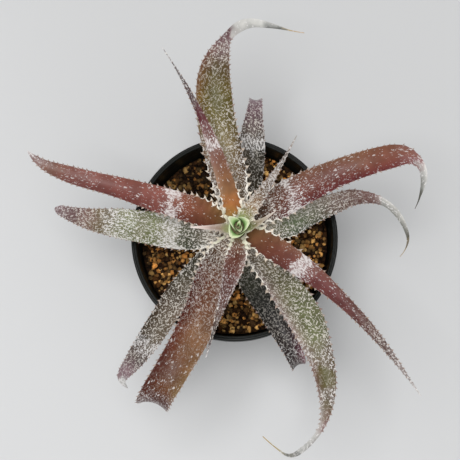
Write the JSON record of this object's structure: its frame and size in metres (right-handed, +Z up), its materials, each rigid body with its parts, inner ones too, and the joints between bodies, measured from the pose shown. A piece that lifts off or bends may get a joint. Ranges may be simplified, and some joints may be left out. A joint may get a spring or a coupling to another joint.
{
  "type": "potted rosette plant",
  "caption": "A spiny-leaved bromeliad rosette, an orthophytum, growing in granular soil in a tapered round black plastic nursery pot with a drained base, standing free on a flat surface.",
  "frame": {"origin": "the middle of the pot's flat underside", "axes": "+Z up through the pot; -Y is the near side, where the two broad bent-over leaves hang; +X to its right"},
  "size_m": [0.1961, 0.2205, 0.1519],
  "materials": {
    "pot_plastic": "satin black moulded plastic",
    "soil": "loose baked-clay granules, tan to dark brown",
    "root": "plain root bark",
    "stem": "short living stem with leaf scars",
    "red_leaf": "waxy living leaf, red-brown with pale scales",
    "green_leaf": "living leaf, grey-green under dense pale scales",
    "heart_leaf": "young living leaf, fresh green"
  },
  "bodies": {
    "root": {"pot": "pot_plastic", "soil": "soil", "roots": "root", "stem": "stem", "leaf_01": "green_leaf", "leaf_02": "green_leaf", "leaf_03": "green_leaf", "leaf_04": "green_leaf", "leaf_05": "green_leaf", "leaf_06": "green_leaf", "leaf_07": "green_leaf", "leaf_08": "red_leaf", "leaf_09": "red_leaf", "leaf_10": "red_leaf", "leaf_11": "red_leaf", "leaf_12": "red_leaf", "leaf_13": "red_leaf", "leaf_14": "green_leaf", "leaf_15": "red_leaf", "leaf_16": "red_leaf", "heart_leaf_1": "heart_leaf", "heart_leaf_2": "heart_leaf", "heart_leaf_3": "heart_leaf", "heart_leaf_4": "heart_leaf", "heart_leaf_5": "heart_leaf"}
  },
  "joints": []
}
